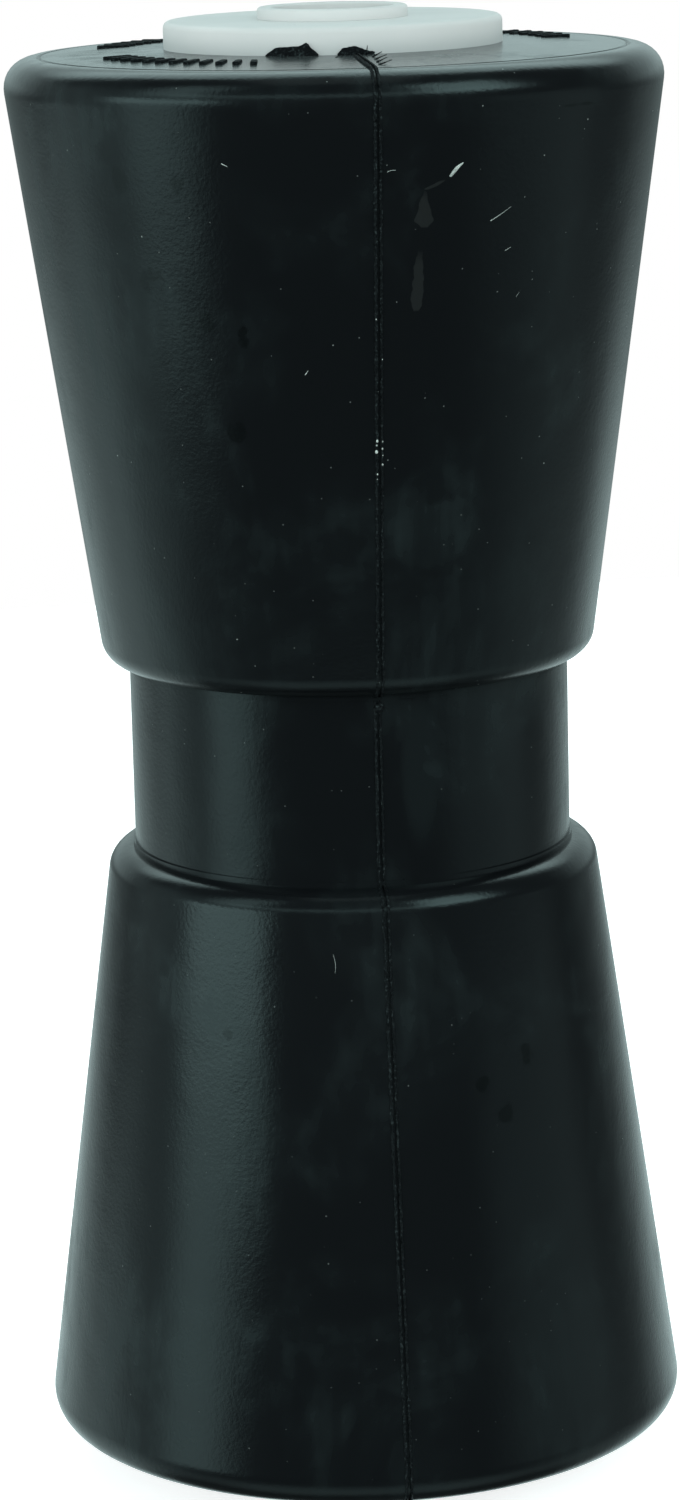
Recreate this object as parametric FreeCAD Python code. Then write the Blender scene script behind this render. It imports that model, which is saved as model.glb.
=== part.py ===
import FreeCAD
import Part

import math
import os

# Boat trailer keel roller: a rubber moulding of two cones and a waist on a flanged plastic core.
# The roller's axis is Z, and its middle is the origin. It stands on the collar of its lower end.
# Lengths are in millimetres and angles in degrees.

# Rubber moulding, its outline from the end to the middle
RUBBER_LENGTH = 200.0
RIM_RADIUS = 47.1
RIM_ROUND = 4.3
LIP_RADIUS = 35.1
LIP_ROUND = 3.5
WAIST_RADIUS = 31.6
WAIST_LENGTH = 27.3

# End faces rise a little from the rim to the core
END_CROWN = 0.7

# Parting line: a low rib down the moulding on two sides
SEAM_DIRECTIONS = (-90.0, 90.0)
SEAM_WIDTH = 1.1
SEAM_PROUD = 0.4

# A round is two arcs, and the one further from the roller's end turns by this much
LONG_ARC_TURN = 48.0

# Plastic core, from the end inwards
SLEEVE_RADIUS = 10.6
COLLAR_PROUD = 1.6
COLLAR_CHAMFER = 0.5
FLANGE_RADIUS = 23.85
FLANGE_PROUD = 3.8
FLANGE_BURIED = 4.2
FLANGE_CHAMFER = 0.7

# Bore for the trailer's roller spindle
BORE_RADIUS = 8.5
BORE_CHAMFER = 0.5

# Heights above the middle that the pieces share
END_PLANE = RUBBER_LENGTH / 2
CROWN_HEIGHT = END_PLANE + END_CROWN
FLANGE_FACE = CROWN_HEIGHT + FLANGE_PROUD
FLANGE_BACK = CROWN_HEIGHT - FLANGE_BURIED
COLLAR_FACE = FLANGE_FACE + COLLAR_PROUD
WAIST_HALF = WAIST_LENGTH / 2

CONE_ANGLE = math.atan2(RIM_RADIUS - LIP_RADIUS, END_PLANE - WAIST_HALF)

AXIS_POINT = FreeCAD.Vector(0, 0, 0)
AXIS_DIRECTION = FreeCAD.Vector(0, 0, 1)
FULL_TURN = 360.0


def corner_arcs(before, corner, after, radius):
    """The two arcs that round a corner of an outline."""
    to_before = (before - corner).normalize()
    to_after = (after - corner).normalize()
    half_angle = to_before.getAngle(to_after) / 2
    centre = corner + (to_before + to_after).normalize() * (radius / math.sin(half_angle))
    start = corner + to_before * (radius / math.tan(half_angle))
    turn = math.degrees(math.pi - 2 * half_angle)

    def point(angle):
        spoke = FreeCAD.Rotation(to_after.cross(to_before), angle)
        return centre + spoke.multVec(start - centre)

    joint = turn - LONG_ARC_TURN
    short_arc = Part.Arc(start, point(joint / 2), point(joint))
    long_arc = Part.Arc(point(joint), point((joint + turn) / 2), point(turn))
    return [short_arc.toShape(), long_arc.toShape()]


def outline_face(upper_half):
    """Flat face in the XZ plane, from (radius, height, corner round) points and their mirror image."""
    corners = [FreeCAD.Vector(radius, 0, height) for radius, height, _ in upper_half]
    edges = []
    reached = corners[0]
    for index in range(1, len(corners)):
        corner_round = upper_half[index][2]
        arcs = []
        target = corners[index]
        if corner_round > 0:
            arcs = corner_arcs(corners[index - 1], corners[index], corners[index + 1], corner_round)
            target = arcs[0].firstVertex().Point
        edges.append(Part.makeLine(reached, target))
        edges += arcs
        reached = edges[-1].lastVertex().Point
    mirrored = [edge.mirror(AXIS_POINT, AXIS_DIRECTION) for edge in edges]
    edges.append(Part.makeLine(reached, FreeCAD.Vector(reached.x, 0, -reached.z)))
    edges += reversed(mirrored)
    edges.append(Part.makeLine(FreeCAD.Vector(0, 0, -corners[0].z), corners[0]))
    return Part.Face(Part.Wire(edges))


def turned(upper_half):
    """Solid of revolution about the roller's axis, its joint line under a rib of the parting line."""
    solid = outline_face(upper_half).revolve(AXIS_POINT, AXIS_DIRECTION, FULL_TURN)
    solid.rotate(AXIS_POINT, AXIS_DIRECTION, SEAM_DIRECTIONS[0])
    return solid


def moulding_outline(proud):
    """Rim and lip of the rubber outline, moved outwards by proud."""
    across_cone = proud / math.cos(CONE_ANGLE)
    along_cone = proud * math.tan(CONE_ANGLE)
    return [
        (RIM_RADIUS + across_cone + along_cone, END_PLANE + proud, RIM_ROUND + proud),
        (LIP_RADIUS + across_cone - along_cone, WAIST_HALF - proud, LIP_ROUND + proud),
    ]


def rubber_body():
    """The moulding without its parting line, solid to the axis."""
    end_face = [
        (0, CROWN_HEIGHT, 0),
        (FLANGE_RADIUS, CROWN_HEIGHT, 0),
    ]
    waist = [(WAIST_RADIUS, WAIST_HALF, 0)]
    return turned(end_face + moulding_outline(0) + waist)


def seam_rib(direction):
    """One rib of the parting line: a thin half section of the moulding, a little larger all round."""
    end_face = [
        (0, CROWN_HEIGHT + SEAM_PROUD, 0),
        (FLANGE_RADIUS, CROWN_HEIGHT + SEAM_PROUD, 0),
    ]
    waist = [(WAIST_RADIUS + SEAM_PROUD, WAIST_HALF - SEAM_PROUD, 0)]
    section = outline_face(end_face + moulding_outline(SEAM_PROUD) + waist)
    rib = section.extrude(FreeCAD.Vector(0, SEAM_WIDTH, 0))
    rib.translate(FreeCAD.Vector(0, -SEAM_WIDTH / 2, 0))
    rib.rotate(AXIS_POINT, AXIS_DIRECTION, direction)
    return rib


def core_blank():
    """The core without its bore."""
    return turned([
        (0, COLLAR_FACE, 0),
        (SLEEVE_RADIUS - COLLAR_CHAMFER, COLLAR_FACE, 0),
        (SLEEVE_RADIUS, COLLAR_FACE - COLLAR_CHAMFER, 0),
        (SLEEVE_RADIUS, FLANGE_FACE, 0),
        (FLANGE_RADIUS - FLANGE_CHAMFER, FLANGE_FACE, 0),
        (FLANGE_RADIUS, FLANGE_FACE - FLANGE_CHAMFER, 0),
        (FLANGE_RADIUS, FLANGE_BACK, 0),
        (SLEEVE_RADIUS, FLANGE_BACK, 0),
    ])


def rubber_roller():
    """The whole rubber moulding, hollow where the core fills it."""
    ribs = [seam_rib(direction) for direction in SEAM_DIRECTIONS]
    return rubber_body().fuse(ribs).cut(core_blank())


def core_bush():
    """The flanged core with its bore through both collars."""
    bore = turned([
        (0, COLLAR_FACE, 0),
        (BORE_RADIUS + BORE_CHAMFER, COLLAR_FACE, 0),
        (BORE_RADIUS, COLLAR_FACE - BORE_CHAMFER, 0),
    ])
    return core_blank().cut(bore)


PIECES = {
    "rubber_roller": rubber_roller,
    "core_bush": core_bush,
}

os.makedirs("parts", exist_ok=True)
for node, make in PIECES.items():
    solid = make()
    solid.exportStep(os.path.join("parts", node + ".step"))
    print(node, len(solid.Solids), solid.isValid(), round(solid.Volume))
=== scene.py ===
import math
import random
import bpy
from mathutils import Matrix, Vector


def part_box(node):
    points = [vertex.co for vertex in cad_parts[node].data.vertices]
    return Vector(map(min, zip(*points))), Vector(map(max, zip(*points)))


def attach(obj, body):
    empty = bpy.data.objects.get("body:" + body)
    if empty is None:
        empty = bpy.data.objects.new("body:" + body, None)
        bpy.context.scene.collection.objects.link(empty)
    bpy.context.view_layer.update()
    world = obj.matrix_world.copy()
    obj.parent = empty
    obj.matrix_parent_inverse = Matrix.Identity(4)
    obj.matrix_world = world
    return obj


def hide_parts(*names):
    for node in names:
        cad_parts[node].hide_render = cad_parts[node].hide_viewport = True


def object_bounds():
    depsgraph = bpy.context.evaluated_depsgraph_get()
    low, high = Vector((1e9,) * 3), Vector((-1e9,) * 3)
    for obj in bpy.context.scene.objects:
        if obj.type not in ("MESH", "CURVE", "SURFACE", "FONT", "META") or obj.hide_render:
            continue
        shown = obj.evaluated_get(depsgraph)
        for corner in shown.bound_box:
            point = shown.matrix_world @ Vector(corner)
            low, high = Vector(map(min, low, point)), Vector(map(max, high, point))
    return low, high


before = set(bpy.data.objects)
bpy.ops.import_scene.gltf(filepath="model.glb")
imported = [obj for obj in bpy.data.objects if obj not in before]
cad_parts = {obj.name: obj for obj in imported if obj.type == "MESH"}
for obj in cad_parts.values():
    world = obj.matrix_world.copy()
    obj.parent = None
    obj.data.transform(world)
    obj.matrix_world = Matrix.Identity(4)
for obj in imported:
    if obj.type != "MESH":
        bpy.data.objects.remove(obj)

from types import SimpleNamespace

import bmesh
import bpy
from mathutils import Matrix, Vector

bl_info = {
    "name": "Keel Roller Studio",
    "version": (1, 0, 0),
    "blender": (4, 5, 0),
    "location": "View3D > Sidebar > Keel Roller",
    "description": "Rubber keel roller for a boat trailer, on a flanged plastic core, in a plain studio",
    "category": "Object",
}

# The frame is in metres, and the roller's axis is Z
MM = 0.001
BODY = "root"
CAD_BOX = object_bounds()
CORE_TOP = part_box("core_bush")[1]
WHITE = (1.0, 1.0, 1.0)

# How finely round shapes are made, where shading breaks at an edge, and which points count as one
TURN_STEPS = 288
ROUND_STEPS = 10
SMALL_ROUND_STEPS = 4
SMOOTH_ANGLE = math.radians(32)
MERGE_DISTANCE = 0.002 * MM

# End ring: the share of its width that its floor takes, and the share of the crown left at its inner edge
RING_FLOOR_SHARE = 0.4
RING_CROWN_SHARE = 0.05

# Camera: where it stands, how it is turned, and its lens, for a picture of 680 by 1500
CAMERA_DISTANCE = 0.65908
CAMERA_HEIGHT = 0.14204
CAMERA_AROUND = math.radians(-7.0)
CAMERA_HEADING = math.radians(-6.866)
CAMERA_PITCH = math.radians(12.234)
CAMERA_ROLL = math.radians(-1.458)
CAMERA_LENS = 111.43


def length(name, description, default):
    """A size that a user can change."""
    return bpy.props.FloatProperty(
        name=name, description=description, default=default,
        min=0.0, unit="LENGTH", subtype="DISTANCE", precision=5,
    )


def colour(name, description, default):
    """A colour that a user can change."""
    return bpy.props.FloatVectorProperty(
        name=name, description=description, default=default,
        min=0.0, max=1.0, size=3, subtype="COLOR",
    )


class RollerSizes(bpy.types.PropertyGroup):
    """Sizes of the roller's pieces."""

    rubber_length: length("Rubber length", "Length of the rubber between its rims", 200.0 * MM)
    rim_radius: length("Rim radius", "Radius at the sharp corner of the rim", 47.07 * MM)
    rim_round: length("Rim round", "Radius of the rounded rim", 4.3 * MM)
    lip_radius: length("Lip radius", "Radius at the sharp corner where a cone meets the waist", 35.1 * MM)
    lip_round: length("Lip round", "Radius of the rounded lip", 3.5 * MM)
    waist_radius: length("Waist radius", "Radius of the waist", 31.6 * MM)
    waist_length: length("Waist length", "Length of the waist", 27.3 * MM)
    end_crown: length("End crown", "Rise of an end face from its rim to the core", 0.7 * MM)
    end_ring_radius: length("End ring radius", "Radius of the ring in an end face", 41.4 * MM)
    end_ring_width: length("End ring width", "Width of the ring in an end face", 0.7 * MM)
    end_ring_depth: length("End ring depth", "Depth of the ring in an end face", 0.25 * MM)
    foot_band_height: length("Foot band height", "Height of the low band at each foot of the waist", 0.8 * MM)
    foot_band_proud: length("Foot band rise", "How far the low band stands off the waist", 0.3 * MM)
    seam_width: length("Parting line width", "Width over both lips of the parting line", 1.1 * MM)
    seam_groove: length("Parting line groove", "Gap between the lips of the parting line", 0.36 * MM)
    seam_proud: length("Parting line rise", "How far the lips stand off the rubber", 0.3 * MM)
    sleeve_radius: length("Sleeve radius", "Outer radius of the core's sleeve and collars", 10.6 * MM)
    collar_round: length("Collar round", "Rounding of the collar's edge", 0.5 * MM)
    collar_proud: length("Collar rise", "How far a collar stands off its flange", 1.6 * MM)
    flange_radius: length("Flange radius", "Radius of the core's flanges", 23.85 * MM)
    flange_round: length("Flange round", "Rounding of the flange's outer edge", 0.9 * MM)
    flange_buried: length("Flange depth", "How deep a flange sits in the rubber", 4.2 * MM)
    bore_radius: length("Bore radius", "Radius of the bore", 8.5 * MM)
    bore_round: length("Bore round", "Rounding of the bore's mouth", 0.4 * MM)


class RollerColours(bpy.types.PropertyGroup):
    """Colours of the roller's finishes and of the studio."""

    rubber: colour("Rubber", "Clean black rubber", (0.0042, 0.0048, 0.0056))
    bloom: colour("Bloom", "Dull grey film on old stock rubber", (0.0105, 0.0146, 0.0154))
    crumbs: colour("Crumbs", "Grey crumbs on torn rubber", (0.026, 0.034, 0.035))
    sheen: colour("Sheen", "Tint of the light that the rubber mirrors", (0.82, 1.0, 1.0))
    dust: colour("Dust", "Pale specks and drips", (0.30, 0.33, 0.31))
    settled: colour("Settled dust", "Grey dust that settles on the end faces", (0.068, 0.080, 0.080))
    plastic: colour("Plastic", "White plastic of the core", (0.62, 0.605, 0.597))
    plastic_shade: colour("Plastic shade", "Cooler tone in the plastic", (0.59, 0.58, 0.572))
    # Grime with painted shade: the plastic is painted darker where it meets the rubber
    grime_and_shade: colour("Grime", "Grey film on the plastic where it meets the rubber", (0.33, 0.36, 0.36))
    floor: colour("Floor", "Pale floor", (0.80, 0.81, 0.81))


def sizes():
    return bpy.context.scene.roller_sizes


def colours():
    return bpy.context.scene.roller_colours


def deselect_all():
    """Leaves edit mode with nothing selected."""
    if bpy.context.object is not None and bpy.context.object.mode != "OBJECT":
        bpy.ops.object.mode_set(mode="OBJECT")
    bpy.ops.object.select_all(action="DESELECT")


def select_whole():
    """In edit mode, selects the whole mesh."""
    bpy.ops.mesh.select_all(action="SELECT")


def start_shaping():
    """Puts a primitive's place and size into its mesh and starts to edit it, selected all over."""
    bpy.ops.object.transform_apply()
    bpy.ops.object.mode_set(mode="EDIT")
    select_whole()


def narrow_selection(piece, chosen):
    """In edit mode, keeps only the selected points for which chosen(place) holds, and says how many."""
    bpy.ops.mesh.select_mode(type="VERT")
    shape = bmesh.from_edit_mesh(piece.data)
    for point in shape.verts:
        if point.select and not chosen(point.co):
            point.select_set(False)
    shape.select_flush_mode()
    bmesh.update_edit_mesh(piece.data)
    return sum(point.select for point in shape.verts)


def select_points(piece, chosen):
    """In edit mode, selects just the points for which chosen(place) holds, and says how many."""
    select_whole()
    return narrow_selection(piece, chosen)


def extrude(move):
    """In edit mode, extrudes what is selected by a move."""
    bpy.ops.mesh.extrude_region_move(TRANSFORM_OT_translate={"value": move})


def new_point(name, place):
    """A new piece that is a single point, in edit mode and selected."""
    deselect_all()
    bpy.ops.mesh.primitive_plane_add(size=MM, location=place)
    piece = bpy.context.object
    piece.name = name
    piece.data.name = name
    start_shaping()
    bpy.ops.mesh.merge(type="CENTER")
    return piece


def draw_outline(name, outline, closed):
    """Draws an outline of (radius, height, round, round steps) in the XZ plane and rounds its corners."""
    places = [Vector((radius, 0.0, height)) for radius, height, _, _ in outline]
    piece = new_point(name, places[0])
    for before, after in zip(places, places[1:] + places[:1] * closed):
        extrude(after - before)
    select_whole()
    bpy.ops.mesh.remove_doubles(threshold=MERGE_DISTANCE)
    for index, (_, _, corner_round, steps) in enumerate(outline):
        if corner_round <= 0:
            continue
        corner = places[index]
        before = (places[index - 1] - corner).normalized()
        after = (places[(index + 1) % len(places)] - corner).normalized()
        reach = corner_round / math.tan(before.angle(after) / 2)
        if select_points(piece, lambda place: (place - corner).length < MERGE_DISTANCE) != 1:
            raise RuntimeError("an outline corner of " + name + " wasn't found")
        bpy.ops.mesh.bevel(offset_type="OFFSET", offset=reach, segments=steps, affect="VERTICES", profile=0.5)
    return piece


def divide_long_edges(piece, longest):
    """In edit mode, divides edges until none is longer than that."""
    bpy.ops.mesh.select_mode(type="EDGE")
    while True:
        bpy.ops.mesh.select_all(action="DESELECT")
        shape = bmesh.from_edit_mesh(piece.data)
        long_edges = [edge for edge in shape.edges if edge.calc_length() > longest]
        if not long_edges:
            break
        for edge in long_edges:
            edge.select_set(True)
        bmesh.update_edit_mesh(piece.data)
        bpy.ops.mesh.subdivide(number_cuts=1)
    bpy.ops.mesh.select_mode(type="VERT")


def finish_mesh():
    """Merges doubles of the active piece, turns its faces outwards, smooths it and leaves edit mode."""
    bpy.ops.object.mode_set(mode="EDIT")
    select_whole()
    bpy.ops.mesh.remove_doubles(threshold=MERGE_DISTANCE)
    bpy.ops.mesh.normals_make_consistent(inside=False)
    bpy.ops.object.mode_set(mode="OBJECT")
    bpy.ops.object.shade_smooth_by_angle(angle=SMOOTH_ANGLE)


def both_ends(upper_half):
    """An outline from its upper half, with the lower half mirrored after it."""
    lower_half = [
        (radius, -height, corner_round, steps)
        for radius, height, corner_round, steps in reversed(upper_half)
    ]
    return upper_half + lower_half


def turned(name, outline):
    """A closed outline spun about the roller's axis."""
    piece = draw_outline(name, outline, closed=True)
    select_whole()
    bpy.ops.mesh.spin(steps=TURN_STEPS, angle=math.tau, center=(0, 0, 0), axis=(0, 0, 1), use_auto_merge=True)
    finish_mesh()
    return piece


def add_modifier(piece, kind, **settings):
    """Adds one modifier, sets it and applies it."""
    modifier = piece.modifiers.new(kind.title(), kind)
    for key, value in settings.items():
        setattr(modifier, key, value)
    bpy.ops.object.modifier_apply(modifier=modifier.name)


def join_copies(name, pattern, moves):
    """Copies of a pattern, each moved by a matrix, joined into one piece in place of the pattern."""
    copies = []
    for move in moves:
        copy = bpy.data.objects.new(name, pattern.data.copy())
        copy.data.transform(move)
        bpy.context.collection.objects.link(copy)
        copies.append(copy)
    bpy.data.objects.remove(pattern)
    deselect_all()
    for copy in copies:
        copy.select_set(True)
    bpy.context.view_layer.objects.active = copies[0]
    bpy.ops.object.join()
    piece = bpy.context.object
    piece.name = name
    finish_mesh()
    return piece


def heights():
    """Heights above the middle that the pieces share."""
    size = sizes()
    end = size.rubber_length / 2
    crown = end + size.end_crown
    collar = CORE_TOP.z
    flange = collar - size.collar_proud
    return SimpleNamespace(end=end, crown=crown, flange=flange, collar=collar, waist=size.waist_length / 2)


def skin_outline(proud=0.0, fine_forms=True):
    """Upper half of the rubber's outside, from the flange's foot to the waist, moved outwards by proud.

    Its fine forms are the ring in the end face and the low band at the foot of the waist.
    """
    size = sizes()
    level = heights()
    slope = math.atan2(size.rim_radius - size.lip_radius, level.end - level.waist)
    across = proud / math.cos(slope)
    along = proud * math.tan(slope)
    outline = [(size.flange_radius, level.crown + proud, 0, 0)]
    if fine_forms:
        ring = size.end_ring_radius
        half = size.end_ring_width / 2
        floor = level.end - size.end_ring_depth
        outline += [
            (ring - half, level.end + size.end_crown * RING_CROWN_SHARE, 0, 0),
            (ring - half * RING_FLOOR_SHARE, floor, 0, 0),
            (ring + half * RING_FLOOR_SHARE, floor, 0, 0),
            (ring + half, level.end, 0, 0),
        ]
    outline += [
        (size.rim_radius + across + along, level.end + proud, size.rim_round + proud, ROUND_STEPS),
        (size.lip_radius + across - along, level.waist - proud, size.lip_round + proud, ROUND_STEPS),
    ]
    if fine_forms:
        band = size.waist_radius + size.foot_band_proud
        step = level.waist - size.foot_band_height
        outline += [(band, level.waist, 0, 0), (band, step, 0, 0), (size.waist_radius, step, 0, 0)]
    else:
        outline += [(size.waist_radius + proud, level.waist - proud, 0, 0)]
    return outline


def new_material(name):
    """A material with only a Principled shader and an output."""
    material = bpy.data.materials.new(name)
    material.use_nodes = True
    tree = material.node_tree
    shader = next(node for node in tree.nodes if node.type == "BSDF_PRINCIPLED")
    return material, tree, shader


def set_inputs(tree, made, inputs):
    """Sets or links a node's inputs, given as (socket, value) pairs, with colours in three parts."""
    for name, value in inputs:
        socket = made.inputs[name]
        if isinstance(value, bpy.types.NodeSocket):
            tree.links.new(value, socket)
        else:
            socket.default_value = (*value, 1.0) if socket.type == "RGBA" else value


def node(tree, kind, inputs=(), **settings):
    """Adds a shader node of that kind, sets its properties and its inputs."""
    made = tree.nodes.new("ShaderNode" + kind)
    for key, value in settings.items():
        setattr(made, key, value)
    set_inputs(tree, made, inputs)
    return made


def ramp(tree, value, low, high, start=0.0, end=1.0):
    """Smooth step of a value from low to high, as a number from start to end."""
    made = node(
        tree, "MapRange",
        [("Value", value), ("From Min", low), ("From Max", high), ("To Min", start), ("To Max", end)],
        interpolation_type="SMOOTHSTEP",
    )
    return made.outputs["Result"]


def maths(tree, operation, *numbers):
    """One sum on one, two or three numbers."""
    return node(tree, "Math", enumerate(numbers), operation=operation).outputs[0]


def times(tree, first, second):
    """One number times another."""
    return maths(tree, "MULTIPLY", first, second)


def scaled(paint, factor):
    """A colour made darker or lighter."""
    return tuple(min(part * factor, 1.0) for part in paint)


def mix(tree, factor, first, second):
    """Mixes two colours."""
    return node(tree, "Mix", [("Factor", factor), (6, first), (7, second)], data_type="RGBA").outputs[2]


def object_place(tree, scale=(1.0, 1.0, 1.0), offset=(0.0, 0.0, 0.0)):
    """Place on the piece in its own coordinates, scaled and then moved along each axis."""
    place = node(tree, "TexCoord").outputs["Object"]
    changes = [("Location", offset), ("Scale", scale)]
    return node(tree, "Mapping", [("Vector", place), *changes]).outputs["Vector"]


def noise(tree, vector, scale, detail=3.0, roughness=0.55, distortion=0.0):
    """Noise with a scale in cells for each metre."""
    settings = [("Scale", scale), ("Detail", detail), ("Roughness", roughness), ("Distortion", distortion)]
    return node(tree, "TexNoise", [("Vector", vector), *settings]).outputs["Fac"]


def axis_height(tree, place):
    """Height of a place along the roller's axis."""
    return node(tree, "SeparateXYZ", [("Vector", place)]).outputs["Z"]


def height_from_middle(tree, place):
    """How far a place is above or below the roller's middle."""
    return maths(tree, "ABSOLUTE", axis_height(tree, place))


def angle_from_front(tree, place):
    """How far round the roller's axis a place is from the front, in radians."""
    axes = node(tree, "SeparateXYZ", [("Vector", place)]).outputs
    return maths(tree, "ARCTAN2", axes["X"], times(tree, axes["Y"], -1.0))


def add_bump(tree, shader, relief, strength, distance):
    """Bumps a finish by a pattern."""
    bump = node(tree, "Bump", [("Height", relief), ("Strength", strength), ("Distance", distance)])
    tree.links.new(bump.outputs["Normal"], shader.inputs["Normal"])


def patch(tree, centre, reach):
    """1 at a place on the piece, falling to 0 at reach from it along each axis."""
    scale = [1 / distance for distance in reach]
    offset = [-middle / distance for middle, distance in zip(centre, reach)]
    place = object_place(tree, scale, offset)
    return node(tree, "TexGradient", [("Vector", place)], gradient_type="SPHERICAL").outputs["Fac"]


# Specks: the share of their radius that is solid, and how softly a cell is picked
SPECK_CORE = 0.6
SPECK_PICK_SOFTNESS = 0.01


def specks(tree, cells, size, share):
    """Scattered specks: how large against their cells, and the share of cells that have one."""
    place = object_place(tree)
    cell = node(tree, "TexVoronoi", [("Vector", place), ("Scale", cells)])
    near = ramp(tree, cell.outputs["Distance"], size, size * SPECK_CORE)
    pick = node(tree, "SeparateColor", [("Color", cell.outputs["Color"])]).outputs["Red"]
    return times(tree, near, ramp(tree, pick, 1 - share, 1 - share + SPECK_PICK_SOFTNESS))


def on_skin(angle, height, radius):
    """A place on the rubber: degrees round from the front, height in mm and radius in mm."""
    turn = math.radians(angle)
    return (math.sin(turn) * radius * MM, -math.cos(turn) * radius * MM, height * MM)


# Dried drips on the upper cone: degrees from the front, heights of top and bottom, half widths there, and
# how far the bottom is shifted, in mm
DRIPS = (
    (8.0, 84.2, 78.9, 0.12, 1.4, 0.0),
    (7.5, 76.5, 67.6, 0.35, 1.0, -0.6),
    (11.8, 85.3, 84.0, 0.45, 0.5, -2.8),
)
DRIP_RADIUS = 44.2 * MM

# How soft a drip's edge is, the shares of its length where it has faded in, starts to round off and ends,
# how much it narrows at its foot, and how far it wavers (radians) in how many cells for each metre
DRIP_EDGE = 0.08 * MM
DRIP_FADED_IN = 0.3
DRIP_FOOT = 0.8
DRIP_END = 0.95
DRIP_FOOT_ROUND = 0.6
DRIP_WAVER = 0.02
DRIP_WAVER_CELLS = 700.0

# Dark smudges and paler matt patches on the rubber: degrees from the front, height, radius, and reach, in mm
SMUDGES = (
    (38.8, 93.9, 46.3, (4.4, 4.4, 0.35)),
    (55.5, 66.2, 42.4, (0.6, 0.6, 0.6)),
    (-25.0, 64.6, 42.2, (1.2, 1.2, 2.2)),
    (-42.6, 72.1, 43.2, (2.6, 2.6, 2.6)),
    (-46.9, 85.7, 45.1, (2.0, 2.0, 2.8)),
    (-34.7, 85.2, 45.0, (1.6, 1.6, 2.2)),
    (-31.8, 66.5, 42.4, (1.4, 1.4, 2.4)),
    (-27.7, 51.6, 40.4, (1.8, 1.8, 2.0)),
    (-35.6, -34.0, 37.9, (1.1, 1.1, 1.1)),
    (24.2, -46.0, 39.6, (2.0, 2.0, 2.0)),
    (19.5, -41.5, 39.0, (1.6, 1.6, 1.6)),
    (31.0, -38.5, 38.5, (1.4, 1.4, 2.4)),
)
MATT_PATCHES = ((10.8, 3.0, 31.6, (3.8, 4.0, 14.0)),)


def patches(tree, places):
    """The highest of several patches, as one number."""
    found = 0.0
    for angle, height, radius, reach in places:
        value = patch(tree, on_skin(angle, height, radius), [distance * MM for distance in reach])
        found = maths(tree, "MAXIMUM", value, found)
    return found


def drip(tree, turn, height, placing):
    """1 inside one drip, from the angle round the roller in radians and the height."""
    middle, top, bottom, top_width, bottom_width, shift = placing
    share = node(
        tree, "MapRange", [("Value", height), ("From Min", top * MM), ("From Max", bottom * MM)]
    ).outputs["Result"]
    beside = times(tree, maths(tree, "SUBTRACT", turn, math.radians(middle)), DRIP_RADIUS)
    beside = maths(tree, "SUBTRACT", beside, times(tree, share, shift * MM))
    widening = times(tree, share, (bottom_width - top_width) * MM)
    foot = times(tree, ramp(tree, share, DRIP_FOOT, 1.0), DRIP_FOOT_ROUND * bottom_width * MM)
    past_edge = maths(tree, "SUBTRACT", maths(tree, "ABSOLUTE", beside), widening)
    past_edge = maths(tree, "SUBTRACT", maths(tree, "ADD", past_edge, foot), top_width * MM)
    across = ramp(tree, past_edge, DRIP_EDGE, -DRIP_EDGE)
    ends = times(tree, ramp(tree, share, 0.0, DRIP_FADED_IN), ramp(tree, share, 1.0, DRIP_END))
    return times(tree, across, ends)


def drips(tree, place):
    """1 inside any of the drips."""
    waver = times(tree, noise(tree, place, DRIP_WAVER_CELLS, detail=1.0), DRIP_WAVER)
    waver = maths(tree, "SUBTRACT", waver, DRIP_WAVER / 2)
    turn = maths(tree, "ADD", angle_from_front(tree, place), waver)
    height = axis_height(tree, place)
    found = 0.0
    for placing in DRIPS:
        found = maths(tree, "MAXIMUM", drip(tree, turn, height, placing), found)
    return found


# Patterns in the finishes, in cells for each metre
MOTTLE_CELLS = 42.0
SMEAR_CELLS = (340.0, 340.0, 34.0)
BLOT_CELLS = 105.0
SMUDGE_EDGE_CELLS = 520.0
WAVE_CELLS = 150.0
GRAIN_CELLS = 1700.0
CRUMB_CELLS = 2600.0
CLOUD_CELLS = 70.0
SCUFF_CELLS = (600.0, 600.0, 90.0)
FLUFF_CELLS = 1800.0

# Specks of dust on the rubber and of dirt in the plastic: cells for each metre, size against a cell,
# and the share of cells that have one
FINE_SPECKS = (780.0, 0.095, 0.13)
COARSE_SPECKS = (330.0, 0.047, 0.32)
DIRT_SPECKS = (420.0, 0.09, 0.05)
DIRT_COLOUR = (0.16, 0.17, 0.17)

# How strongly each mark covers the finish under it
FINE_SPECK_COVER = 0.3
COARSE_SPECK_COVER = 0.6
DRIP_COVER = 0.028
MATT_COVER = 0.4
DIRT_COVER = 0.5
# Grime and painted shade where the plastic meets the rubber
GRIME_AND_SHADE_COVER = 0.5
SMUDGE_DARKNESS = 0.4

# Specks thin out down the roller, between these heights and to this share
DUSTY_HEIGHT = 40.0 * MM
CLEANER_HEIGHT = -35.0 * MM
CLEANER_SHARE = 0.35

# Roughness of clean rubber and of filmed rubber, and what dust and smudges add to it
CLEAN_ROUGHNESS = 0.19
FILM_ROUGHNESS = 0.36
DUST_ROUGHNESS = 0.25
SMUDGE_ROUGHNESS = 0.06

# Roughness of torn rubber on the cones and waist, and on the end faces, and the reach in which it changes
TORN_ROUGHNESS = 0.42
TORN_END_ROUGHNESS = 0.8
TORN_END_REACH = 2.0 * MM

# Roughness of the plastic, and of lint and floor
PLASTIC_ROUGHNESS = 0.6
MATT_ROUGHNESS = 0.9

# How strongly each finish mirrors
RUBBER_SPECULAR = 0.25
FLASH_SPECULAR = 0.12
PLASTIC_SPECULAR = 0.12
LINT_SPECULAR = 0.5

# Share of the film left on blots, and share of the grain in the rubber's relief
BLOT_FILM = 0.3
GRAIN_SHARE = 0.5

# Settled dust fades in from below the end face to above it. Grime with painted shade starts below the
# flange's face and is full below the end face, darkest where the plastic meets the rubber.
SETTLED_BELOW = 0.3 * MM
SETTLED_ABOVE = 0.1 * MM
GRIME_AND_SHADE_START = 0.8 * MM
GRIME_AND_SHADE_FULL = 0.3 * MM


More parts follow.
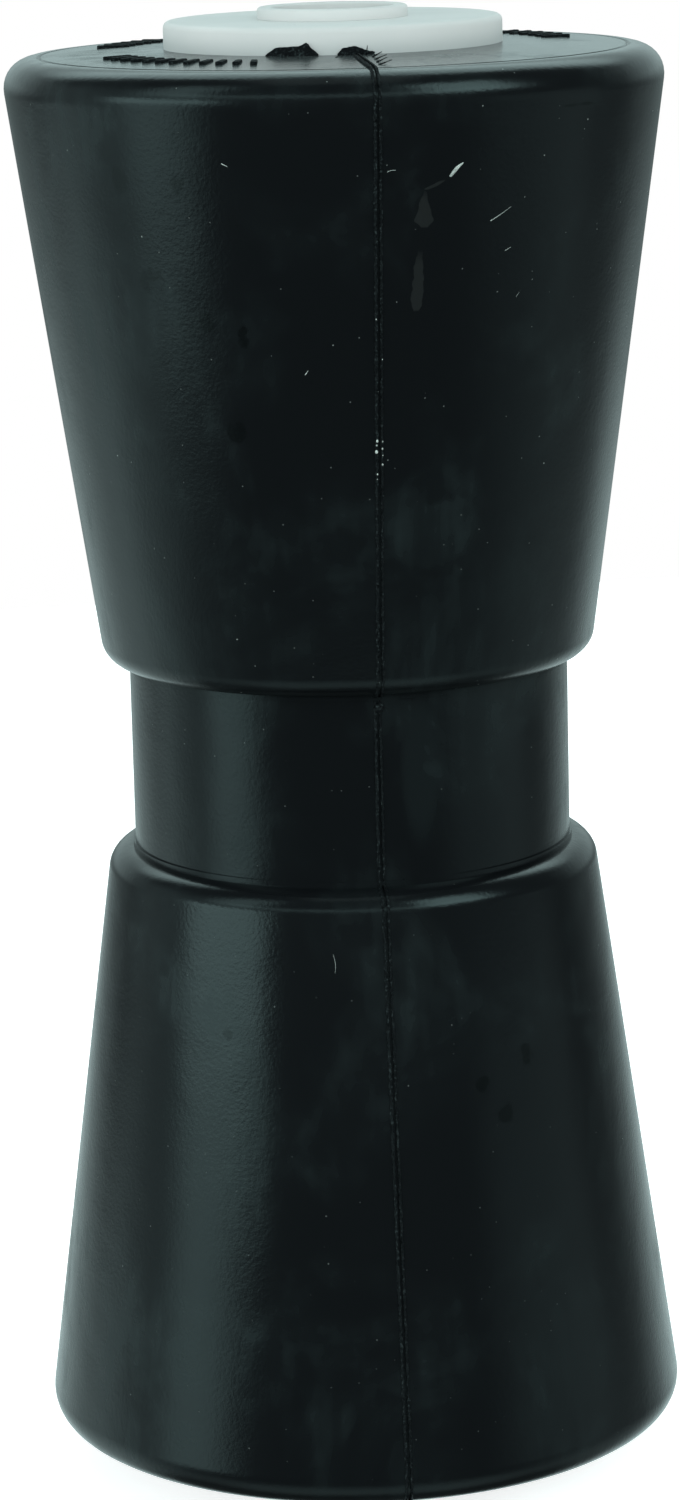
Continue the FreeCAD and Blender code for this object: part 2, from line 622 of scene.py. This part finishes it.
def set_finish(tree, shader, tone, roughness, specular, sheen=WHITE):
    """Sets a finish's colour and roughness, and how strongly and in what tint it mirrors."""
    set_inputs(tree, shader, [
        ("Base Color", tone), ("Roughness", roughness),
        ("Specular IOR Level", specular), ("Specular Tint", sheen),
    ])


def dull_film(tree, place, blots):
    """How much dull film the rubber has: mottled, smeared and blotted, and even on the matt patches."""
    mottle = noise(tree, place, MOTTLE_CELLS, detail=4.0, roughness=0.62, distortion=0.4)
    smears = noise(tree, object_place(tree, SMEAR_CELLS), 1.0, detail=2.0, roughness=0.6)
    film = times(tree, ramp(tree, mottle, low=0.42, high=0.72), ramp(tree, smears, 0.3, 0.75, start=0.35))
    film = times(tree, film, ramp(tree, blots, low=0.52, high=0.66, start=1.0, end=BLOT_FILM))
    matt = ramp(tree, patches(tree, MATT_PATCHES), low=0.05, high=0.5, end=MATT_COVER)
    return maths(tree, "MAXIMUM", film, matt)


def smudges(tree, place):
    """1 inside the smudges, whose edges are ragged."""
    ragged = ramp(tree, noise(tree, place, SMUDGE_EDGE_CELLS), low=0.35, high=0.62, start=0.3, end=1.5)
    return ramp(tree, times(tree, patches(tree, SMUDGES), ragged), low=0.1, high=0.5)


def dust_cover(tree, place):
    """How much dust the rubber has: specks, fewer towards the lower end, and dried drips."""
    fine = times(tree, specks(tree, *FINE_SPECKS), FINE_SPECK_COVER)
    coarse = times(tree, specks(tree, *COARSE_SPECKS), COARSE_SPECK_COVER)
    thinning = ramp(tree, axis_height(tree, place), CLEANER_HEIGHT, DUSTY_HEIGHT, CLEANER_SHARE, 1.0)
    found = times(tree, maths(tree, "MAXIMUM", fine, coarse), thinning)
    return maths(tree, "MAXIMUM", found, times(tree, drips(tree, place), DRIP_COVER))


def settled_dust(tree, place, blots):
    """How much dust has settled on the end faces, unevenly."""
    end = heights().end
    on_end = ramp(tree, height_from_middle(tree, place), end - SETTLED_BELOW, end + SETTLED_ABOVE)
    return times(tree, ramp(tree, blots, low=0.35, high=0.65, start=0.5), on_end)


def rubber_material():
    """Satin black rubber with a dull film, smudges, dust and a fine grain."""
    paint = colours()
    material, tree, shader = new_material("satin_black_rubber")
    place = object_place(tree)
    blots = noise(tree, place, BLOT_CELLS, detail=3.0, roughness=0.6)
    film = dull_film(tree, place, blots)
    smudge = smudges(tree, place)
    dust = dust_cover(tree, place)
    tone = mix(tree, film, paint.rubber, paint.bloom)
    tone = mix(tree, smudge, tone, scaled(paint.rubber, SMUDGE_DARKNESS))
    tone = mix(tree, dust, tone, paint.dust)
    tone = mix(tree, settled_dust(tree, place, blots), tone, paint.settled)
    roughness = ramp(tree, film, 0.0, 1.0, CLEAN_ROUGHNESS, FILM_ROUGHNESS)
    roughness = maths(tree, "ADD", roughness, times(tree, dust, DUST_ROUGHNESS))
    roughness = maths(tree, "ADD", roughness, times(tree, smudge, SMUDGE_ROUGHNESS))
    set_finish(tree, shader, tone, roughness, RUBBER_SPECULAR, paint.sheen)
    grain = noise(tree, place, GRAIN_CELLS, detail=2.0, roughness=0.6)
    waves = noise(tree, place, WAVE_CELLS, detail=1.0)
    relief = maths(tree, "ADD", times(tree, grain, GRAIN_SHARE), waves)
    add_bump(tree, shader, relief, strength=0.22, distance=0.25 * MM)
    return material


def flash_material():
    """Torn black rubber, dull and crumbly, and dullest on the end faces."""
    paint = colours()
    material, tree, shader = new_material("torn_black_rubber")
    place = object_place(tree)
    crumbs = noise(tree, place, CRUMB_CELLS, detail=3.0, roughness=0.65)
    tone = mix(tree, ramp(tree, crumbs, low=0.54, high=0.66), paint.rubber, paint.crumbs)
    end = heights().end
    height = height_from_middle(tree, place)
    roughness = ramp(tree, height, end - TORN_END_REACH, end, TORN_ROUGHNESS, TORN_END_ROUGHNESS)
    set_finish(tree, shader, tone, roughness, FLASH_SPECULAR, paint.sheen)
    add_bump(tree, shader, crumbs, strength=0.7, distance=0.3 * MM)
    return material


def plastic_material():
    """White moulded plastic, a little uneven, with a few dark specks, and grime with painted shade at the
    flange's foot.
    """
    paint = colours()
    material, tree, shader = new_material("white_moulded_plastic")
    place = object_place(tree)
    cloud = noise(tree, place, CLOUD_CELLS, detail=3.0)
    tone = mix(tree, ramp(tree, cloud, low=0.35, high=0.7), paint.plastic, paint.plastic_shade)
    level = heights()
    height = height_from_middle(tree, place)
    # Painted shade with some grime: the plastic is darkened towards the rubber at the flange's foot
    foot = ramp(tree, height, level.flange - GRIME_AND_SHADE_START, level.crown - GRIME_AND_SHADE_FULL, end=GRIME_AND_SHADE_COVER)
    tone = mix(tree, foot, tone, paint.grime_and_shade)
    tone = mix(tree, times(tree, specks(tree, *DIRT_SPECKS), DIRT_COVER), tone, DIRT_COLOUR)
    set_finish(tree, shader, tone, PLASTIC_ROUGHNESS, PLASTIC_SPECULAR)
    scuffs = noise(tree, object_place(tree, SCUFF_CELLS), 1.0, detail=3.0)
    add_bump(tree, shader, scuffs, strength=0.12, distance=0.1 * MM)
    return material


def dress(piece, material):
    """Gives a piece its one material."""
    piece.data.materials.clear()
    piece.data.materials.append(material)


def seat(piece, make_material, material_name):
    """A finished piece takes its material, made when first asked for, and rides on the body."""
    dress(piece, bpy.data.materials.get(material_name) or make_material())
    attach(piece, BODY)
    deselect_all()


class ROLLER_OT_rubber_moulding(bpy.types.Operator):
    """Turns the rubber moulding with its rims, lips, end rings, foot bands and the seats of the flanges"""

    bl_idname = "roller.rubber_moulding"
    bl_label = "Rubber Moulding"

    def execute(self, context):
        size = sizes()
        level = heights()
        seat_floor = level.crown - size.flange_buried
        inside = [(size.sleeve_radius, seat_floor, 0, 0), (size.flange_radius, seat_floor, 0, 0)]
        piece = turned("rubber_moulding", both_ends(inside + skin_outline()))
        seat(piece, rubber_material, "satin_black_rubber")
        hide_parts("rubber_roller")
        return {"FINISHED"}


class ROLLER_OT_plastic_core(bpy.types.Operator):
    """Turns the plastic core with its sleeve, flanges, collars and bore"""

    bl_idname = "roller.plastic_core"
    bl_label = "Plastic Core"

    def execute(self, context):
        size = sizes()
        level = heights()
        back = level.crown - size.flange_buried
        upper_half = [
            (size.bore_radius, level.collar, size.bore_round, SMALL_ROUND_STEPS),
            (size.sleeve_radius, level.collar, size.collar_round, SMALL_ROUND_STEPS),
            (size.sleeve_radius, level.flange, 0, 0),
            (size.flange_radius, level.flange, size.flange_round, SMALL_ROUND_STEPS),
            (size.flange_radius, back, 0, 0),
            (size.sleeve_radius, back, 0, 0),
        ]
        piece = turned("plastic_core", both_ends(upper_half))
        seat(piece, plastic_material, "white_moulded_plastic")
        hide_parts("core_bush")
        return {"FINISHED"}


# Parting line: how far a lip is sunk in the rubber, how finely it is divided, the round of its outer edge,
# how ragged it is, and the share of its points where a nick is torn out, and how deep
LIP_SUNK = 0.15 * MM
LIP_STEP = 0.45 * MM
LIP_ROUND = 0.3 * MM
LIP_ROUND_STEPS = 3
LIP_ROUGHNESS = 0.08 * MM
NICK_SHARE = 0.1
NICK_DEPTH = 0.14 * MM


def seam_lip(name, offset, seed):
    """One ragged lip of the parting line, on the side of the moulding that faces +X."""
    size = sizes()
    width = (size.seam_width - size.seam_groove) / 2
    rise = size.seam_proud + LIP_SUNK
    piece = draw_outline(name, both_ends(skin_outline(-LIP_SUNK, fine_forms=False)), closed=False)
    divide_long_edges(piece, LIP_STEP)
    select_whole()
    extrude((0, width, 0))
    select_whole()
    bpy.ops.mesh.normals_make_consistent(inside=False)
    bpy.ops.mesh.extrude_region_shrink_fatten(TRANSFORM_OT_shrink_fatten={"value": rise})
    outer = 0.0 if offset < 0 else width
    narrow_selection(piece, lambda place: abs(place.y - outer) < width / 4)
    bpy.ops.mesh.bevel(
        offset_type="OFFSET", offset=LIP_ROUND, segments=LIP_ROUND_STEPS, affect="EDGES", profile=0.5
    )
    select_whole()
    bpy.ops.transform.vertex_random(offset=LIP_ROUGHNESS, uniform=0.0, normal=1.0, seed=seed)
    chance = random.Random(seed)
    narrow_selection(piece, lambda place: chance.random() < NICK_SHARE)
    bpy.ops.transform.shrink_fatten(value=-NICK_DEPTH)
    select_whole()
    bpy.ops.transform.translate(value=(0, offset - width / 2, 0))
    finish_mesh()
    return piece


class ROLLER_OT_parting_line(bpy.types.Operator):
    """Adds the two ragged lips of the parting line, front and back"""

    bl_idname = "roller.parting_line"
    bl_label = "Parting Line"

    def execute(self, context):
        size = sizes()
        offset = (size.seam_width + size.seam_groove) / 4
        seed = 1
        for side, turn in (("front", -math.pi / 2), ("back", math.pi / 2)):
            for hand, place in (("left", -offset), ("right", offset)):
                piece = seam_lip("parting_lip_" + side + "_" + hand, place, seed)
                piece.data.transform(Matrix.Rotation(turn, 4, "Z"))
                seat(piece, flash_material, "torn_black_rubber")
                seed += 1
        return {"FINISHED"}


# Torn scraps of flash that stand at the flange's foot: degrees from the front to their middle, degrees wide,
# and their heights in mm at shares of that width
SCRAPS = {
    "left": (
        -20.6, 17.6,
        ((0.0, 0.1), (0.2, 1.15), (0.66, 1.3), (0.79, 1.85), (0.86, 1.05), (0.94, 0.6), (1.0, 0.15)),
    ),
    "right": (0.4, 12.0, ((0.0, 0.1), (0.12, 0.9), (0.45, 1.2), (0.6, 0.95), (0.75, 0.6), (1.0, 0.3))),
}
# How finely a scrap is divided, its thickness and unevenness, its gap to the flange, and how far it is sunk
SCRAP_COLUMNS = 22
SCRAP_ROWS = 3
SCRAP_THICKNESS = 0.35 * MM
SCRAP_ROUGHNESS = 0.06 * MM
SCRAP_GAP = 0.3 * MM
SCRAP_SUNK = 0.3 * MM


def height_at(profile, share):
    """Height from (share, height) points, straight between them."""
    for (start, low), (end, high) in zip(profile, profile[1:]):
        if share <= end:
            return low + (high - low) * (share - start) / (end - start)
    return profile[-1][1]


def flash_scrap(name, middle, width, profile, seed):
    """A thin torn sheet that stands on the end face, curved round the flange."""
    size = sizes()
    base = heights().crown - SCRAP_SUNK
    radius = size.flange_radius + SCRAP_GAP
    piece = new_point(name, (0.0, -radius, base))
    for _ in range(SCRAP_ROWS):
        extrude((0, 0, MM / SCRAP_ROWS))
    select_whole()
    arc = math.radians(width)
    bpy.ops.mesh.spin(steps=SCRAP_COLUMNS, angle=-arc, center=(0, 0, 0), axis=(0, 0, 1))
    reach = radius * arc / SCRAP_COLUMNS / 3
    for column in range(SCRAP_COLUMNS + 1):
        share = column / SCRAP_COLUMNS
        place = Vector((math.sin(arc * share), -math.cos(arc * share))) * radius
        if not select_points(piece, lambda point: (point.xy - place).length < reach):
            raise RuntimeError("a column of " + name + " wasn't found")
        stretch = height_at(profile, share) + SCRAP_SUNK / MM
        bpy.ops.transform.resize(value=(1, 1, stretch), center_override=(0, 0, base))
    select_whole()
    bpy.ops.transform.vertex_random(offset=SCRAP_ROUGHNESS, uniform=0.5, normal=0.4, seed=seed)
    bpy.ops.object.mode_set(mode="OBJECT")
    add_modifier(piece, "SOLIDIFY", thickness=SCRAP_THICKNESS, offset=0.0)
    piece.data.transform(Matrix.Rotation(math.radians(middle - width / 2), 4, "Z"))
    finish_mesh()
    return piece


# Small blobs of flash: degrees from the front, height and radius of their middle, and their size, all in mm
BLOBS = {
    "waist": (0.4, 11.8, 31.55, 0.75),
    "end": (-23.0, 100.6, 25.3, 0.55),
    "end_far": (-6.0, 100.4, 26.6, 0.3),
}
# Wisps of flash beside the parting line on the end face: degrees from the front, radius, lean, length in mm
WISPS = {
    "0": (3.2, 25.2, 8.0, 1.3),
    "1": (3.8, 28.0, 62.0, 1.5),
    "2": (3.2, 31.0, 70.0, 1.8),
    "3": (2.6, 34.5, 66.0, 1.6),
    "4": (2.2, 37.5, 72.0, 1.9),
}
WISP_RADIUS = 0.10 * MM
WISP_SIDES = 8

# Unevenness of a blob against its size and of a wisp against its radius, and a wisp's tip against its foot
BLOB_ROUGHNESS = 0.12
WISP_ROUGHNESS = 0.5
WISP_TIP = 0.2


def end_height(radius):
    """Height of the crowned end face at a radius."""
    size = sizes()
    level = heights()
    share = (radius - size.flange_radius) / (size.end_ring_radius - size.flange_radius)
    return level.crown - size.end_crown * min(max(share, 0.0), 1.0)


def flash_blob(name, angle, height, radius, reach, seed):
    """A small uneven blob of rubber, half sunk in the surface."""
    deselect_all()
    bpy.ops.mesh.primitive_ico_sphere_add(
        subdivisions=3, radius=reach * MM, location=on_skin(angle, height, radius)
    )
    piece = bpy.context.object
    piece.name = name
    start_shaping()
    bpy.ops.transform.vertex_random(offset=reach * BLOB_ROUGHNESS * MM, uniform=0.0, normal=1.0, seed=seed)
    finish_mesh()
    return piece


def flash_wisp(name, angle, radius, lean, reach, seed):
    """A thin tapered hair of rubber that leans away from the parting line."""
    place = Vector(on_skin(angle, 0.0, radius))
    place.z = end_height(radius * MM)
    deselect_all()
    bpy.ops.mesh.primitive_cone_add(
        vertices=WISP_SIDES, radius1=WISP_RADIUS, radius2=WISP_RADIUS * WISP_TIP,
        depth=reach * MM, location=(0, 0, reach * MM / 2),
    )
    piece = bpy.context.object
    piece.name = name
    start_shaping()
    bpy.ops.mesh.subdivide(number_cuts=3)
    bpy.ops.transform.vertex_random(offset=WISP_RADIUS * WISP_ROUGHNESS, uniform=0.5, normal=0.0, seed=seed)
    finish_mesh()
    piece.data.transform(Matrix.Translation(place) @ Matrix.Rotation(math.radians(lean), 4, "Y"))
    return piece


class ROLLER_OT_flash(bpy.types.Operator):
    """Adds the torn scraps, blobs and wisps of flash"""

    bl_idname = "roller.flash"
    bl_label = "Flash"

    def execute(self, context):
        for kind, make, places in (
            ("scrap", flash_scrap, SCRAPS), ("blob", flash_blob, BLOBS), ("wisp", flash_wisp, WISPS)
        ):
            for seed, (name, placing) in enumerate(places.items()):
                piece = make("flash_" + kind + "_" + name, *placing, seed)
                seat(piece, flash_material, "torn_black_rubber")
        return {"FINISHED"}


# Plain raised bars on the upper end face: degrees from the front to the first and last, and how many
BAR_ROWS = ((-72.0, -26.0, 12), (-136.0, -114.0, 6), (98.0, 122.0, 6))
# Radius of the bars' middles, a bar's width, length and depth, its rise, how it leans, and its edges
BAR_RADIUS = 32.8 * MM
BAR_SIZE = Vector((0.9, 4.6, 0.9)) * MM
BAR_PROUD = 0.4 * MM
BAR_LEAN = math.radians(18.0)
BAR_ROUND = 0.15 * MM


class ROLLER_OT_end_bars(bpy.types.Operator):
    """Adds the rows of plain raised bars on the end face"""

    bl_idname = "roller.end_bars"
    bl_label = "End Bars"

    def execute(self, context):
        top = end_height(BAR_RADIUS) + BAR_PROUD
        deselect_all()
        bpy.ops.mesh.primitive_cube_add(size=1, scale=BAR_SIZE, location=(0, 0, top - BAR_SIZE.z / 2))
        bar = context.object
        bpy.ops.object.transform_apply()
        add_modifier(bar, "BEVEL", width=BAR_ROUND, segments=2)
        out = Matrix.Translation((0, -BAR_RADIUS, 0)) @ Matrix.Rotation(BAR_LEAN, 4, "Z")
        moves = []
        for first, last, count in BAR_ROWS:
            for index in range(count):
                turn = math.radians(first + (last - first) * index / (count - 1))
                moves.append(Matrix.Rotation(turn, 4, "Z") @ out)
        piece = join_copies("end_bars", bar, moves)
        seat(piece, flash_material, "torn_black_rubber")
        return {"FINISHED"}


# Lint on the rubber: degrees from the front, height and thickness at each point along it, in mm
LINT = {
    "tick": ((12.5, 85.6, 0.30), (13.0, 86.1, 0.55), (13.9, 86.9, 0.50), (14.9, 87.4, 0.12)),
    "fibre": ((1.5, 86.6, 0.05), (2.2, 86.9, 0.09), (3.0, 86.8, 0.05)),
    "thread": ((20.5, 79.3, 0.14), (22.5, 80.0, 0.10), (24.5, 81.0, 0.05)),
    "thread_low": ((23.8, 75.1, 0.09), (25.0, 75.5, 0.06)),
    "curl": ((26.8, 68.6, 0.06), (28.2, 70.1, 0.05), (30.4, 70.8, 0.05)),
    "dash": ((-26.5, 88.1, 0.12), (-25.5, 87.7, 0.12)),
    "dash_low": ((-13.7, 59.5, 0.12), (-13.1, 60.1, 0.08)),
    "hair": ((-12.0, -22.0, 0.05), (-11.2, -23.2, 0.07), (-11.6, -24.6, 0.05)),
}
# Pale beads on the lips of the parting line, which stand in for glints as a painted highlight: degrees from
# the front, height and radius, in mm
PAINTED_GLINT_BEADS = (
    (-0.45, 50.2, 0.16), (-0.55, 49.6, 0.10), (-0.6, 48.7, 0.20), (-0.45, 45.6, 0.10),
    (-0.5, 44.9, 0.08), (0.6, 50.1, 0.09), (0.55, 49.1, 0.12), (0.6, 48.2, 0.08),
    (0.55, 46.9, 0.12), (0.6, 61.4, 0.07), (-0.5, 66.9, 0.08),
)
LINT_SUNK = 0.02 * MM
LINT_LIGHTER = 1.8
# How much taller than wide a bead of painted glint is
GLINT_BEAD_STRETCH = 1.4


def skin_radius(height):
    """Radius of the rubber's cone at a height."""
    size = sizes()
    level = heights()
    share = (abs(height) - level.waist) / (level.end - level.waist)
    return size.lip_radius + (size.rim_radius - size.lip_radius) * share


def lint_and_glint_material():
    """Pale fluff, which also makes the painted glints on the parting line."""
    material, tree, shader = new_material("pale_lint_and_painted_glints")
    dust = colours().dust
    fluff = noise(tree, object_place(tree), FLUFF_CELLS, detail=2.0)
    tone = mix(tree, ramp(tree, fluff, low=0.3, high=0.7), dust, scaled(dust, LINT_LIGHTER))
    set_finish(tree, shader, tone, MATT_ROUGHNESS, LINT_SPECULAR)
    return material


def lint_bit(name, route):
    """A thin smooth thread along points on the rubber's skin, turned into a mesh."""
    deselect_all()
    line = bpy.data.curves.new(name, "CURVE")
    line.dimensions = "3D"
    spline = line.splines.new("NURBS")
    spline.points.add(len(route) - 1)
    for point, (angle, height, thickness) in zip(spline.points, route):
        radius = (skin_radius(height * MM) - LINT_SUNK) / MM
        point.co = (*on_skin(angle, height, radius), 1.0)
        point.radius = thickness / 2
    spline.order_u = min(3, len(route))
    spline.use_endpoint_u = True
    line.bevel_depth = MM
    line.bevel_resolution = 2
    line.use_fill_caps = True
    piece = bpy.data.objects.new(name, line)
    bpy.context.collection.objects.link(piece)
    piece.select_set(True)
    bpy.context.view_layer.objects.active = piece
    bpy.ops.object.convert(target="MESH")
    piece = bpy.context.object
    finish_mesh()
    return piece


class ROLLER_OT_lint(bpy.types.Operator):
    """Adds the bits of lint on the rubber and the pale beads on the parting line that paint its glints"""

    bl_idname = "roller.lint"
    bl_label = "Lint"

    def execute(self, context):
        for name, route in LINT.items():
            piece = lint_bit("lint_" + name, route)
            seat(piece, lint_and_glint_material, "pale_lint_and_painted_glints")
        deselect_all()
        # Pale beads on the lips of the parting line, which paint its glints
        bpy.ops.mesh.primitive_ico_sphere_add(subdivisions=2, radius=MM)
        pattern = context.object
        moves = []
        for angle, height, reach in PAINTED_GLINT_BEADS:
            crest = (skin_radius(height * MM) + sizes().seam_proud) / MM
            stretch = Matrix.Diagonal((reach, reach, reach * GLINT_BEAD_STRETCH, 1))
            moves.append(Matrix.Translation(on_skin(angle, height, crest)) @ stretch)
        piece = join_copies("painted_glint_beads", pattern, moves)
        seat(piece, lint_and_glint_material, "pale_lint_and_painted_glints")
        return {"FINISHED"}


def camera_turn():
    """How the camera is turned in the frame."""
    heading = Matrix.Rotation(CAMERA_HEADING, 3, "Z")
    tilt = Matrix.Rotation(math.pi / 2 - CAMERA_PITCH, 3, "X")
    roll = Matrix.Rotation(CAMERA_ROLL, 3, "Z")
    return heading @ tilt @ roll


# Soft boxes: degrees round from the camera, degrees up, distance, width, height (metres), power (watts),
# and whether glossy surfaces mirror them. The fill and the side boxes light the core and the dust alone.
SOFT_BOXES = {
    "overhead": (0.0, 84.0, 1.0, 0.5, 0.5, 0.3, True),
    "fill": (-2.0, 12.0, 1.2, 1.8, 0.7, 10.4, False),
    "left_side": (-88.0, 8.0, 1.2, 0.7, 0.6, 4.6, False),
    "right_side": (84.0, 8.0, 1.2, 0.7, 0.6, 4.2, False),
}

# Studio walls and panels round the roller: degrees round from the camera, half their width and how softly
# that ends, degrees up, half their height and how softly that ends, and how bright they are against white
PANELS = {
    "back_top": (180.0, 44.0, 12.0, 50.0, 20.0, 8.0, 2.7),
    "back_level": (180.0, 54.0, 20.0, 12.0, 14.0, 8.0, 0.7),
    "back_low": (-164.0, 62.0, 16.0, -29.0, 19.0, 6.0, 0.58),
    "low_ring": (180.0, 110.0, 30.0, -31.0, 15.0, 12.0, 0.4),
    "left_wall": (-98.0, 18.0, 10.0, -2.0, 34.0, 14.0, 0.42),
    "left_box": (-62.0, 14.0, 7.0, 38.0, 18.0, 10.0, 1.8),
    "left_level": (-62.0, 20.0, 6.0, 6.0, 7.0, 3.0, 3.5),
    "left_mid": (-65.0, 13.0, 9.0, -10.0, 8.0, 4.0, 1.8),
    "front_band": (0.0, 64.0, 8.0, 24.0, 5.0, 3.0, 1.2),
    "front_low": (0.0, 70.0, 30.0, -55.0, 16.0, 12.0, 0.6),
    "right_level": (76.0, 24.0, 10.0, -7.0, 8.0, 4.0, 0.3),
    "right_box": (52.0, 18.0, 8.0, 36.0, 16.0, 6.0, 3.8),
}
LAMP_COLOUR = (0.93, 1.0, 0.995)
PANEL_COLOUR = (0.78, 1.0, 1.0)
ROOM_LIGHT = 0.08
DEGREES = math.degrees(1.0)
FULL_TURN = 360.0

# Floor: its size, how dim it is to the roller, how much white the camera adds to it, and its faint clouds
FLOOR_SIZE = 1.4
FLOOR_DIM = 0.10
FLOOR_GLOW = 0.72
FLOOR_CELLS = 8.0
FLOOR_CLOUD = 0.985


def around_camera(angle, elevation, distance):
    """A place at an angle round from the camera and above the horizon, from the roller's middle."""
    turn = math.radians(angle) + CAMERA_AROUND
    up = math.radians(elevation)
    return Vector((math.sin(turn) * math.cos(up), -math.cos(turn) * math.cos(up), math.sin(up))) * distance


def soft_box(name, angle, elevation, distance, width, height, power, mirrored):
    """A soft box that faces the roller."""
    place = around_camera(angle, elevation, distance)
    deselect_all()
    bpy.ops.object.light_add(type="AREA", location=place, rotation=place.to_track_quat("Z", "Y").to_euler())
    light = bpy.context.object
    light.name = "soft_box_" + name
    light.visible_glossy = mirrored
    light.data.shape = "RECTANGLE"
    light.data.size = width
    light.data.size_y = height
    light.data.energy = power
    light.data.color = LAMP_COLOUR


def panel(tree, around, up, placing):
    """Light from one wall or panel, from the degrees round and up of a direction."""
    centre, half_width, side_softness, height, half_height, softness, strength = placing
    beside = maths(tree, "WRAP", maths(tree, "SUBTRACT", around, centre), FULL_TURN / 2, -FULL_TURN / 2)
    beside = maths(tree, "ABSOLUTE", beside)
    above = maths(tree, "ABSOLUTE", maths(tree, "SUBTRACT", up, height))
    across = ramp(tree, beside, half_width + side_softness, half_width - side_softness, 0.0, strength)
    along = ramp(tree, above, half_height + softness, half_height - softness)
    return times(tree, across, along)


def studio_world():
    """White for the camera; for the roller the walls and panels of a studio."""
    world = bpy.data.worlds.new("studio")
    bpy.context.scene.world = world
    world.use_nodes = True
    tree = world.node_tree
    tree.nodes.clear()
    direction = node(tree, "TexCoord").outputs["Generated"]
    around = maths(tree, "SUBTRACT", angle_from_front(tree, direction), CAMERA_AROUND)
    around = times(tree, around, DEGREES)
    up = times(tree, maths(tree, "ARCSINE", axis_height(tree, direction)), DEGREES)
    level = ROOM_LIGHT
    for placing in PANELS.values():
        level = maths(tree, "ADD", panel(tree, around, up, placing), level)
    wall = node(tree, "Background", [("Color", PANEL_COLOUR), ("Strength", level)])
    white = node(tree, "Background", [("Color", WHITE), ("Strength", 1.0)])
    seen = node(tree, "LightPath").outputs["Is Camera Ray"]
    shown = node(tree, "MixShader", [(0, seen), (1, wall.outputs[0]), (2, white.outputs[0])])
    node(tree, "OutputWorld", [("Surface", shown.outputs[0])])


def floor_material():
    """Plain pale floor, white to the camera except in the roller's shadow."""
    paint = colours()
    material, tree, shader = new_material("pale_floor")
    clouds = noise(tree, object_place(tree), FLOOR_CELLS, detail=2.0)
    shade = mix(tree, ramp(tree, clouds, low=0.3, high=0.7), paint.floor, scaled(paint.floor, FLOOR_CLOUD))
    seen = node(tree, "LightPath").outputs["Is Camera Ray"]
    tone = mix(tree, seen, scaled(paint.floor, FLOOR_DIM), shade)
    set_finish(tree, shader, tone, MATT_ROUGHNESS, specular=0.0)
    glow = times(tree, seen, FLOOR_GLOW)
    set_inputs(tree, shader, [("Emission Color", WHITE), ("Emission Strength", glow)])
    return material


class ROLLER_OT_stage(bpy.types.Operator):
    """Adds the floor, the studio lights and the camera"""

    bl_idname = "roller.stage"
    bl_label = "Stage"

    def execute(self, context):
        scene = context.scene
        deselect_all()
        bpy.ops.mesh.primitive_plane_add(size=FLOOR_SIZE, location=(0, 0, CAD_BOX[0].z))
        floor = context.object
        floor.name = "floor"
        bpy.ops.object.transform_apply()
        dress(floor, floor_material())
        floor.visible_glossy = False
        studio_world()
        for name, placing in SOFT_BOXES.items():
            soft_box(name, *placing)
        place = around_camera(0.0, 0.0, CAMERA_DISTANCE)
        place.z = CAMERA_HEIGHT
        bpy.ops.object.camera_add(location=place, rotation=camera_turn().to_euler())
        camera = context.object
        camera.data.lens = CAMERA_LENS
        scene.camera = camera
        scene.view_settings.view_transform = "Standard"
        deselect_all()
        return {"FINISHED"}


OPERATORS = (
    ROLLER_OT_rubber_moulding,
    ROLLER_OT_plastic_core,
    ROLLER_OT_parting_line,
    ROLLER_OT_flash,
    ROLLER_OT_end_bars,
    ROLLER_OT_lint,
    ROLLER_OT_stage,
)


class ROLLER_PT_panel(bpy.types.Panel):
    """Builds the roller piece by piece"""

    bl_idname = "ROLLER_PT_panel"
    bl_label = "Keel Roller"
    bl_space_type = "VIEW_3D"
    bl_region_type = "UI"
    bl_category = "Keel Roller"

    def draw(self, context):
        for operator in OPERATORS:
            self.layout.operator(operator.bl_idname)
        for group, made in ((sizes(), RollerSizes), (colours(), RollerColours)):
            column = self.layout.column()
            for name in made.__annotations__:
                column.prop(group, name)


CLASSES = (RollerSizes, RollerColours, *OPERATORS, ROLLER_PT_panel)


def register():
    for made in CLASSES:
        bpy.utils.register_class(made)
    bpy.types.Scene.roller_sizes = bpy.props.PointerProperty(type=RollerSizes)
    bpy.types.Scene.roller_colours = bpy.props.PointerProperty(type=RollerColours)


def unregister():
    del bpy.types.Scene.roller_colours
    del bpy.types.Scene.roller_sizes
    for made in reversed(CLASSES):
        bpy.utils.unregister_class(made)


def main():
    """Builds the roller and its stage."""
    register()
    bpy.ops.roller.rubber_moulding()
    bpy.ops.roller.plastic_core()
    bpy.ops.roller.parting_line()
    bpy.ops.roller.flash()
    bpy.ops.roller.end_bars()
    bpy.ops.roller.lint()
    bpy.ops.roller.stage()


if __name__ == "__main__":
    main()
